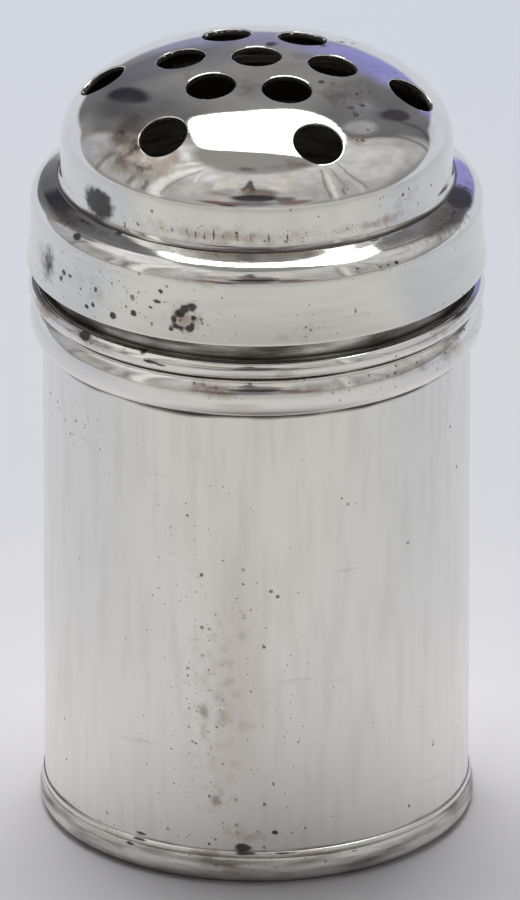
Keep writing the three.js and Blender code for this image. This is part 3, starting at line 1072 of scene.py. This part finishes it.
# Sleeve
# A thin ring soldered inside the skirt, which grips the neck and holds the lid on. It is seen only
# from below with the lid off, and is dull with tarnish.
low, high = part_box("lid_sleeve")
sleeve_inside = body_radius + 0.06 * mm
sleeve_finish = silver(
    "tarnished silver sleeve", polish=0.32, rubbing=0.12, squeeze=(1, 1, 0.08), line_width=0.12 * mm,
    relief=0.4, wave_length=2 * mm, pits=0.04,
)
sleeve_section = ring_section(sleeve_inside, high.x, low.z, high.z, ease=0.06 * mm, step=0.6 * mm)
sleeve = turned("sleeve", sleeve_section, sleeve_finish, dent_depth=0.01 * mm)
tarnished_and_shaded(sleeve, [(high.x, high.z, 1.5 * mm)], all_over=0.3)
fitted(sleeve, "lid", "lid_sleeve")


# Floor
# A pale sweep of paper, which in front, where only the polish sees it, is a little warmer, with a
# painted shadow close by and a brown painted shadow straight ahead. Far from the shaker it fades into the
# backdrop's colour, so that it has no edge.
near_paper = (0.69, 0.68, 0.7, 1)
middle_paper = (0.61, 0.615, 0.65, 1)
behind_paper = (0.55, 0.57, 0.625, 1)
front_paper = (0.7, 0.705, 0.695, 1)
painted_shadow_paper = (0.4, 0.395, 0.385, 1)
brown_shadow_paper = (0.53, 0.475, 0.45, 1)
far_paper = (0.64, 0.665, 0.735, 1)
far_front = (0.6, 0.575, 0.56, 1)
ambient = (0.168, 0.168, 0.173, 1)
brown_shadow_turn = math.radians(-9)
floor_radius = 0.4
world = bpy.data.worlds.new("backdrop")
bpy.context.scene.world = world
world.use_nodes = True
sky = world.node_tree
seen = add(sky, "ShaderNodeLightPath").outputs["Is Camera Ray"]
sky.links.new(blended(sky, seen, ambient, far_paper), sky.nodes["Background"].inputs["Color"])


def bare_material(name):
    """A material without nodes, and its tree."""
    material = bpy.data.materials.new(name)
    material.use_nodes = True
    material.node_tree.nodes.clear()
    return material, material.node_tree


paper, tree = bare_material("paper")
where = add(tree, "ShaderNodeTexCoord").outputs["Object"]
path = add(tree, "ShaderNodeLightPath").outputs
away = vector(tree, "LENGTH", where)
place = add(tree, "ShaderNodeSeparateXYZ", {0: where}).outputs
forward = calc(tree, "MULTIPLY", place["Y"], -1.0)
in_front = calc(tree, "MULTIPLY", between(tree, forward, 0.0, 0.08), path["Is Glossy Ray"])

# Each tone gives way to the next over a stretch of distance from the shaker, in metres
tone = blended(tree, between(tree, away, 0.014, 0.06), near_paper, middle_paper)
tone = blended(tree, between(tree, away, 0.05, 0.14), tone, behind_paper)
# A narrow brown painted shadow straight ahead, and a dim painted shadow round the foot, both seen only in the
# polish
off_brown_shadow = calc(tree, "SUBTRACT", calc(tree, "ARCTAN2", place["X"], forward), brown_shadow_turn)
narrow = between(tree, calc(tree, "ABSOLUTE", off_brown_shadow), 0.28, 0.08)
brown_shadow = calc(tree, "MULTIPLY", narrow, between(tree, away, 0.075, 0.05))
polished = blended(tree, between(tree, away, 0.012, 0.042), painted_shadow_paper, front_paper)
polished = blended(tree, brown_shadow, polished, brown_shadow_paper)
tone = blended(tree, in_front, tone, polished)
matt = output(tree, "ShaderNodeBsdfDiffuse", {"Color": tone})
glow = output(tree, "ShaderNodeEmission", {"Color": blended(tree, in_front, far_paper, far_front)})
shown = calc(tree, "MAXIMUM", path["Is Camera Ray"], path["Is Glossy Ray"])
faded = calc(tree, "MULTIPLY", between(tree, away, 0.5 * floor_radius, floor_radius), shown)
sheet = output(tree, "ShaderNodeMixShader", {0: faded, 1: matt, 2: glow})
tree.links.new(sheet, add(tree, "ShaderNodeOutputMaterial").inputs["Surface"])
bpy.ops.mesh.primitive_circle_add(vertices=96, radius=floor_radius, fill_type="NGON")
floor = bpy.context.object
floor.name = "floor"
floor.data.materials.append(paper)


# Room
# What stands round the shaker and shows only in its polish: a tent of pale cloth whose folds splay out
# as they rise, a grey ceiling with the softbox's white face in it, dark gaps and paler panels. It leans
# forward, because the photographed lid leans back by half as much and this one sits square.
tent_radius = 2.0
tent, given, result = new_tree("tent", "GeometryNodeTree", {
    "Radius": ("NodeSocketFloat", tent_radius),
    "Finish": ("NodeSocketMaterial", None),
}, {"Piece": "NodeSocketGeometry"})
sphere = add(tent, "GeometryNodeMeshUVSphere", {
    "Segments": 480, "Rings": 200, "Radius": given["Radius"],
}).outputs["Mesh"]
cloth = output(tent, "GeometryNodeRealizeInstances", {"Geometry": sphere})
hung = output(tent, "GeometryNodeSetMaterial", {"Geometry": cloth, "Material": given["Finish"]})
tent.links.new(hung, result["Piece"])
tent_glow, glow_tree = bare_material("tent")
room = grown("room", tent, [(0, 0, 0)], {"Finish": tent_glow})
room_lean = math.radians(5)
x, y, z = points_of(room).T / tent_radius
ahead = y * math.cos(room_lean) + z * math.sin(room_lean)
skyward = z * math.cos(room_lean) - y * math.sin(room_lean)
turn = np.degrees(np.arctan2(x, -ahead))
height = np.degrees(np.arcsin(np.clip(skyward, -1, 1)))


def rise(value, low, high):
    """0 below low, 1 above high and a smooth step between them."""
    share = np.clip((value - low) / (high - low), 0, 1)
    return share * share * (3 - 2 * share)


def within(value, start, full, fading, gone):
    """1 from full to fading, and 0 before start and after gone."""
    return rise(value, start, full) * (1 - rise(value, fading, gone))


def stripe(offset, half_width, softness):
    """1 along the middle of a stripe and 0 at its edges."""
    return rise(1 - np.abs(offset) / half_width, 0, softness)


def laid_over(light, cover, colour):
    """Lays a colour, or one number for a grey, over the light as firmly as the cover says."""
    return light + cover[:, None] * (np.array(colour) - light)


def painted(light, shapes):
    """Lays soft ovals over the light. An oval is its turn from the front towards +X and its height, in
    degrees, half its width and height, its lean in degrees of turn for one of height, how soft its
    edge is, its colour and how firmly it covers."""
    for spot_turn, spot_height, half_width, half_height, lean, softness, colour, cover in shapes:
        up = height - spot_height
        off_turn = (turn - spot_turn - lean * up + 180) % 360 - 180
        inside = 1 - np.hypot(off_turn / half_width, up / half_height)
        light = laid_over(light, rise(inside, 0, softness) * cover, colour)
    return light


def folded(light, folds):
    """Lays folds of the cloth over the light. A fold is its path from the foot up, as turns and
    heights in degrees, half its width, how soft its edge is, its colour and how firmly it covers."""
    fade = 4
    for path, half_width, softness, colour, cover in folds:
        turns, heights = np.array(path, float).T
        foot, head = heights[0], heights[-1]
        long = within(height, foot - fade, foot + fade, head - fade, head + fade)
        across = stripe(turn - np.interp(height, heights, turns), half_width, softness)
        light = laid_over(light, across * long * cover, colour)
    return light


# Bare cloth, dark behind, and paler high up in front and at the sides
aside = np.abs(turn)
behind = np.where(turn < 0, rise(-turn, 126, 132), rise(turn, 121, 128))
light = np.full((len(turn), 3), (0.43, 0.43, 0.435))
light = laid_over(light, behind, (0.16, 0.16, 0.17))
light = laid_over(light, rise(aside, 158, 172), (0.26, 0.26, 0.27))
light = laid_over(light, 0.75 * rise(height, 30, 62) * (1 - rise(aside, 120, 130)), (0.66, 0.66, 0.67))

# Panels and gaps at the sides and behind
light = painted(light, [
    (-118, 18, 11, 24, 0, 0.3, (0.42, 0.42, 0.46), 0.9),
    (-92, 46, 32, 22, 0, 0.6, 0.84, 0.9),
    (-122, 38, 9, 8, 0, 0.6, (0.16, 0.16, 0.17), 0.85),
    (-91, 24, 10, 22, 0, 0.7, (0.34, 0.31, 0.29), 0.7),
    (-42, 27, 13, 24, 0, 0.8, 0.55, 0.8),
    (-38, 56, 9, 11, 0, 0.8, (0.78, 0.77, 0.84), 0.7),
    (88, 38, 26, 28, 0, 0.4, (0.59, 0.59, 0.61), 0.9),
    (104, 50, 6, 9, 0, 0.8, (0.62, 0.62, 0.63), 0.8),
    (110, 40, 7, 18, 0.15, 0.5, (0.6, 0.6, 0.64), 0.85),
    (92, 3, 24, 9, 0, 0.7, (0.31, 0.31, 0.32), 0.8),
    (-116, 55, 12, 13, 0, 0.8, (0.95, 0.95, 0.98), 0.9),
    (-134, 10, 14, 16, 0, 0.8, (0.27, 0.27, 0.28), 0.8),
    (156, 38, 10, 8, -0.9, 0.7, (0.26, 0.26, 0.3), 0.6),
    (143.5, 31, 6, 8.5, 0.1, 0.4, (0.05, 0.047, 0.06), 0.95),
    (139, 48, 10, 7.5, 0, 0.5, (0.36, 0.36, 0.39), 0.9),
    (160, 8, 22, 16, 0, 0.5, (0.3, 0.3, 0.66), 0.95),
    (-178, 4, 10, 11, 0, 0.5, (0.3, 0.3, 0.5), 0.7),
    (-168, 15, 15, 13, 0, 0.6, (0.13, 0.13, 0.17), 0.8),
    (-156, 26, 5.2, 11, 0, 0.4, (0.03, 0.028, 0.04), 0.95),
    (-148, 29, 9, 18, 0, 0.7, (0.08, 0.08, 0.09), 0.75),
])

# Folds of the cloth, which fan out as they rise
light = folded(light, [
    ([(-104, -4), (-104, 12), (-108, 32)], 2.6, 0.8, (0.17, 0.17, 0.18), 0.75),
    ([(-79, 3), (-79, 16), (-80, 22)], 2.4, 0.8, (0.18, 0.18, 0.185), 0.8),
    ([(-75, -2), (-75, 14), (-77, 26), (-80, 36), (-86, 43), (-94, 47)], 2.6, 0.9, (0.62, 0.6, 0.58), 0.9),
    ([(-68.5, 3), (-68.5, 16), (-71, 24)], 2.6, 0.8, (0.14, 0.14, 0.145), 0.85),
    ([(-60, -2), (-60.5, 15), (-62, 28), (-63, 40), (-63, 50), (-62, 68)], 7, 0.8, 0.85, 0.95),
    ([(-56.5, 5), (-56, 30), (-56, 50), (-57.5, 64)], 2.2, 0.9, (0.3, 0.3, 0.305), 0.75),
    ([(-78, 50), (-77, 62), (-76, 70)], 5, 0.8, 0.9, 0.85),
    ([(-45, 44), (-49, 52), (-52, 60), (-54, 66)], 1.8, 0.9, (0.82, 0.82, 0.8), 0.75),
    ([(-27, 36), (-29, 48), (-31, 60)], 3, 0.9, (0.72, 0.73, 0.68), 0.8),
    ([(38, 12), (39, 28), (42, 42), (46, 52), (52, 60)], 2.2, 0.9, 0.5, 0.8),
    ([(43, 8), (44, 28), (47, 40), (53, 50), (60, 57), (66, 61)], 1.5, 0.8, (0.2, 0.2, 0.205), 0.85),
    ([(46, 2), (47, 22), (50.5, 38), (57, 50), (63, 57), (71, 64)], 2.4, 0.8, (0.68, 0.68, 0.67), 0.95),
    ([(52, 8), (52, 18), (54, 24)], 1.7, 0.8, (0.14, 0.14, 0.145), 0.8),
    ([(55, 16), (57, 34), (61, 46), (69, 57)], 2.2, 0.9, 0.3, 0.8),
    ([(63, 2), (63, 28), (65, 42), (70, 50), (78, 58)], 2.6, 0.9, 0.55, 0.85),
    ([(66.5, 8), (66.5, 34), (70, 45), (77, 54), (84, 59)], 1.5, 0.8, (0.23, 0.23, 0.235), 0.8),
    ([(118, -1), (119.5, 9), (121.5, 23), (124, 32), (127, 42), (127, 52)],
     1.7, 0.8, (0.11, 0.11, 0.12), 0.75),
    ([(126, 9), (133, 20), (137, 30), (143, 36)], 2, 0.9, (0.07, 0.07, 0.08), 0.7),
])

# The warm, dim front of the room, with a dark cone that tapers upwards
light = painted(light, [
    (-22, 50, 10, 13, 0, 0.35, (0.66, 0.61, 0.57), 0.85),
    (16, 51, 10, 16, 0, 0.5, (0.68, 0.62, 0.59), 0.85),
    (29, 50, 8, 20, 0.1, 0.8, (0.5, 0.52, 0.47), 0.7),
    (19, 68, 7, 5, 0, 0.8, (0.68, 0.68, 0.75), 0.8),
    (-23, 30, 12, 8, 0, 0.8, (0.3, 0.24, 0.22), 0.8),
    (-23, 24, 5, 3, 0, 0.8, (0.5, 0.42, 0.38), 0.8),
    (-18, 39, 7, 6, 0, 0.8, 0.34, 0.7),
    (2, 34, 15, 12, 0, 0.5, (0.15, 0.11, 0.095), 0.8),
    (17, 19, 8, 8, 0, 0.6, (0.12, 0.09, 0.09), 0.85),
    (22, 11, 14, 7, 0, 0.6, (0.2, 0.12, 0.12), 0.85),
    (-1, 24, 18, 9, 0, 0.4, (0.034, 0.027, 0.03), 0.95),
    (-9, 42, 4, 6, 0, 0.7, (0.3, 0.2, 0.18), 0.8),
    (-2, 12, 18, 9, 0, 0.6, (0.16, 0.16, 0.18), 0.9),
    (-21, 9.5, 17, 5.5, 0, 0.6, (0.17, 0.085, 0.08), 0.9),
    (-22, 17, 4, 3, 0, 0.7, (0.62, 0.42, 0.4), 0.85),
    (-16, 5.5, 8, 3, 0, 0.6, (0.05, 0.04, 0.04), 0.9),
    (15, 12, 4, 5, 0, 0.7, (0.2, 0.17, 0.19), 0.7),
])
cone_turn = -5
cone_width = 1.6 + 5.5 * np.clip((60 - height) / 24, 0, 1)
cone = stripe(turn - cone_turn, cone_width, 0.4) * within(height, 36, 42, 56, 61)
light = laid_over(light, 0.9 * cone, (0.075, 0.06, 0.05))
light = painted(light, [(-6, 42, 3, 4.5, 0, 0.8, (0.3, 0.21, 0.19), 0.85)])

# The ceiling, with shade along its rim
light = laid_over(light, rise(height, 65, 71), (0.3, 0.295, 0.29))
light = painted(light, [
    (-14, 75, 22, 4, 0, 0.8, (0.12, 0.12, 0.14), 0.8),
    (30, 76, 30, 4, 0, 0.8, (0.22, 0.22, 0.23), 0.7),
    (66, 69, 12, 6, 0, 0.8, (0.18, 0.165, 0.13), 0.7),
    (-100, 64, 20, 4, 0, 0.8, (0.9, 0.9, 0.93), 0.9),
    (-130, 62, 14, 5, 0, 0.8, (0.5, 0.5, 0.53), 0.8),
])

# The softbox's face, by where a sight line meets a level one unit up: four edges, softly joined
level = np.maximum(skyward, 1e-3)
across = x / level
beyond = ahead / level
left = -0.33 + 0.02 * beyond
right = np.interp(beyond, [-0.1, 0.07, 0.42, 0.6, 0.7, 0.9], [0.5, 0.58, 0.5, 0.4, 0.34, 0.2])
nearest = np.interp(across, [-0.36, -0.1, 0.22, 0.6], [0.19, 0.125, 0.05, -0.12])
furthest = np.interp(across, [-0.3, 0.1, 0.36], [0.74, 0.83, 0.8])
corner_sharpness = 22
edges = (across - left, right - across, beyond - nearest, furthest - beyond)
face = -np.log(sum(np.exp(-corner_sharpness * np.clip(edge, -2, 2)) for edge in edges)) / corner_sharpness
light = laid_over(light, rise(face, -0.02, 0.01) * (skyward > 0), 4)

# The floor beyond the paper, up to a level that is low at the sides, with shade above it
floor_turns = [-180, -150, -134, -117, -101, -53, -30, 2, 28, 56, 77, 103, 120, 134, 150, 180]
floor_heights = [-1.5, 2, 8, -2, -6, -6, -5, 2, 0, -2, -6, -2, 4, 12, 6, -1.5]
lowest = np.interp(turn, floor_turns, floor_heights)
shade = stripe(height - lowest - 4, 6, 1) * within(aside, 24, 34, 105, 125)
light = laid_over(light, 0.5 * shade, (0.2, 0.2, 0.205))
seam = stripe(height - lowest - 0.6, 1.8, 1) * within(aside, 70, 90, 128, 140)
light = laid_over(light, 0.75 * seam, (0.1, 0.1, 0.105))
facing = rise(-ahead, 0, 0.35)
paper_light = laid_over(np.array(far_paper[:3]), facing, far_front[:3])
light = laid_over(light, rise(lowest - height, -2.5, 1.5), paper_light)

layer = room.data.attributes.new("light", "FLOAT_COLOR", "POINT")
layer.data.foreach_set("color", np.c_[light, np.ones(len(light))].astype(np.float32).ravel())
glow = add(glow_tree, "ShaderNodeAttribute", attribute_name="light").outputs["Color"]
ray = vector(glow_tree, "NORMALIZE", add(glow_tree, "ShaderNodeTexCoord").outputs["Object"])
creased = vector(glow_tree, "MULTIPLY", ray, (1, 1, 0.25))
creases = add(glow_tree, "ShaderNodeTexNoise", {
    "Vector": creased, "Scale": 7.0, "Detail": 3.0, "Distortion": 0.4,
}).outputs["Fac"]
shading = swayed(glow_tree, 1.0, creases, 0.7)
climb = add(glow_tree, "ShaderNodeSeparateXYZ", {0: ray}).outputs["Z"]
above_floor = between(glow_tree, climb, 0.06, 0.2)
below_ceiling = between(glow_tree, climb, 0.97, 0.9)
on_cloth = calc(glow_tree, "MULTIPLY", above_floor, below_ceiling)
strength = output(glow_tree, "ShaderNodeMix", {"Factor": on_cloth, "A": 1.0, "B": shading})
lit = output(glow_tree, "ShaderNodeEmission", {"Color": glow, "Strength": strength})
glow_tree.links.new(lit, add(glow_tree, "ShaderNodeOutputMaterial").inputs["Surface"])
room.visible_camera = False
room.visible_diffuse = False
room.visible_shadow = False
room.visible_transmission = False
room.visible_volume_scatter = False


# Soft light
# One softbox overhead and a little behind, the only lamp, which throws the shadow forward. The polish
# sees its face in the room instead.
lamp_height = 0.6
lamp_behind = 0.21
lamp_aside = -0.03
lamp_width = 0.45
lamp_depth = 0.43
softbox = bpy.data.lights.new("softbox", "AREA")
softbox.shape = "RECTANGLE"
softbox.size = lamp_width
softbox.size_y = lamp_depth
softbox.energy = 4.3
lamp = bpy.data.objects.new("softbox", softbox)
lamp.location = (lamp_aside, lamp_behind, lamp_height)
lamp.visible_camera = False
lamp.visible_glossy = False
bpy.context.scene.collection.objects.link(lamp)


# Camera
# The photograph looks down on the shaker from about 24 degrees through a long lens. The place of the
# base's centre and the scale were measured in the photograph's frame of 520 by 900 pixels.
picture_width = 520
picture_height = 900
elevation = math.radians(23.92)
base_x_pixel = 256.7
base_y_pixel = 793.5
pixels_per_mm = 15.114
sensor = 36.0
lens = 800.0
camera = bpy.data.cameras.new("camera")
camera.lens = lens
camera.sensor_width = sensor
distance = lens / sensor * picture_height / pixels_per_mm * mm
back = Vector((0, -math.cos(elevation), math.sin(elevation)))
up = Vector((0, math.sin(elevation), math.cos(elevation)))
aim = Vector(((picture_width / 2 - base_x_pixel) / pixels_per_mm * mm, 0, 0))
aim += up * ((base_y_pixel - picture_height / 2) / pixels_per_mm * mm)
eye = bpy.data.objects.new("camera", camera)
eye.location = aim + back * distance
eye.rotation_mode = "QUATERNION"
eye.rotation_quaternion = (-back).to_track_quat("-Z", "Y")
camera.clip_start = 0.01
camera.clip_end = 10
bpy.context.scene.collection.objects.link(eye)
bpy.context.scene.camera = eye
bpy.context.scene.view_settings.view_transform = "Standard"
